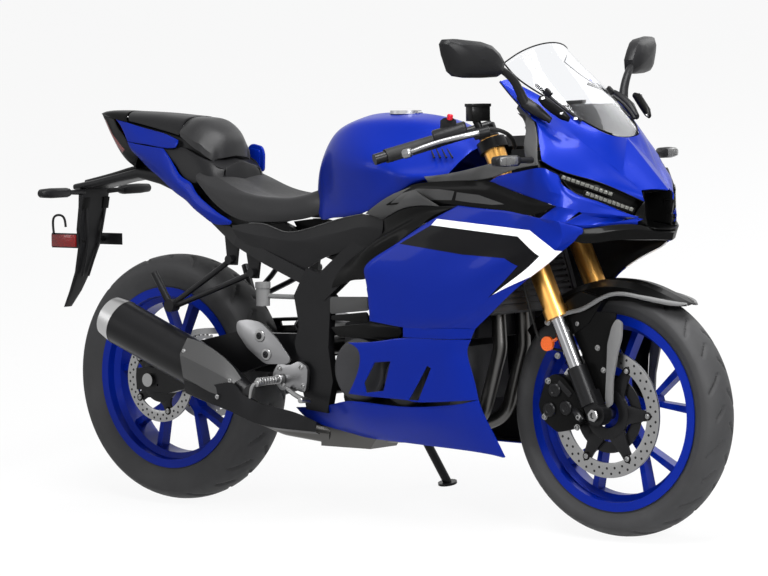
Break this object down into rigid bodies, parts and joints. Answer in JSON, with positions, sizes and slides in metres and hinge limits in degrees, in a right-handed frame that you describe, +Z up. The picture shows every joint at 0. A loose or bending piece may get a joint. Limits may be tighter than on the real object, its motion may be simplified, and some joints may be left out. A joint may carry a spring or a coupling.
{
  "type": "sport motorcycle",
  "caption": "Fully faired sport motorcycle parked on its side stand, with working steering, wheels, side stand and fuel cap.",
  "frame": {"origin": "on the ground under the middle of the leaned machine's bounding box", "axes": "+X forward, +Y to the rider's left, +Z up; the machine leans 11 degrees to +Y on its side stand"},
  "size_m": [2.085, 0.813, 1.2065],
  "materials": {
    "black_metal": "satin",
    "black_plastic": "satin",
    "blue_paint": "gloss",
    "blue_plastic": "gloss",
    "chrome_tube": "polished",
    "clear": "clear",
    "dark_alloy": "satin",
    "gloss_black": "gloss",
    "gold_tube": "satin",
    "grey_plastic": "satin",
    "lamp": "gloss",
    "orange_lens": "gloss",
    "rubber": "matte",
    "silver_alloy": "satin",
    "steel": "brushed",
    "tyre_rubber": "matte",
    "vinyl": "matte"
  },
  "bodies": {
    "chassis": {"frame": "black_metal", "subframe": "black_metal", "engine_block": "dark_alloy", "engine_covers": "dark_alloy", "drive_sprocket": "steel", "radiator": "dark_alloy", "exhaust_pipes": "steel", "silencer": "black_metal", "silencer_tip": "silver_alloy", "swingarm": "black_metal", "rear_axle": "steel", "rear_shock": "black_metal", "drive_chain": "steel", "chain_guard": "black_plastic", "rear_caliper": "dark_alloy", "fuel_tank": "blue_paint", "wedge_panels": "gloss_black", "side_covers": "black_plastic", "rider_seat": "vinyl", "passenger_seat": "vinyl", "tail_cowl": "blue_plastic", "tail_light": "lamp", "rear_fender": "black_plastic", "turn_signals": "lamp", "nose_cowl": "blue_plastic", "headlights": "lamp", "windscreen": "clear", "side_fairings": "blue_plastic", "belly_pan": "blue_plastic", "cockpit": "black_plastic", "mirrors": "black_plastic", "rearsets": "silver_alloy", "passenger_pegs": "black_metal", "rear_reservoir": "grey_plastic"},
    "steering": {"triple_clamps": "black_metal", "fork_outer": "gold_tube", "fork_inner": "chrome_tube", "fork_feet": "black_metal", "front_axle": "steel", "front_fender": "gloss_black", "front_caliper": "dark_alloy", "handlebars": "black_metal", "grips": "rubber", "controls": "black_plastic", "brake_hose": "rubber", "fork_reflectors": "orange_lens"},
    "front_wheel": {"front_rim": "blue_paint", "front_tyre": "tyre_rubber", "front_disc": "steel"},
    "rear_wheel": {"rear_rim": "blue_paint", "rear_tyre": "tyre_rubber", "rear_disc": "steel", "rear_sprocket": "steel"},
    "side_stand": {"side_stand": "black_metal"},
    "fuel_cap": {"fuel_cap": "silver_alloy"}
  },
  "joints": [
    {"name": "steering_turn", "type": "hinge", "parent": "chassis", "child": "steering", "pos_m": [0.47095, -0.05835, 0.78672], "axis": [-0.4226, 0.1729, 0.8897], "range_deg": [-30, 30]},
    {"name": "front_wheel_spin", "type": "hinge", "parent": "steering", "child": "front_wheel", "pos_m": [0.749, -0.15509, 0.28903], "axis": [0, 0.9816, -0.1908], "continuous": true},
    {"name": "rear_wheel_spin", "type": "hinge", "parent": "chassis", "child": "rear_wheel", "pos_m": [-0.631, -0.15109, 0.30965], "axis": [0, 0.9816, -0.1908], "continuous": true},
    {"name": "side_stand_swing", "type": "hinge", "parent": "chassis", "child": "side_stand", "pos_m": [-0.056, 0.00767, 0.25638], "axis": [0.2158, 0.9399, 0.2646], "range_deg": [0, 100]},
    {"name": "fuel_cap_lift", "type": "hinge", "parent": "chassis", "child": "fuel_cap", "pos_m": [0.154, -0.02286, 0.9693], "axis": [0, 0.9816, -0.1908], "range_deg": [0, 90]}
  ]
}
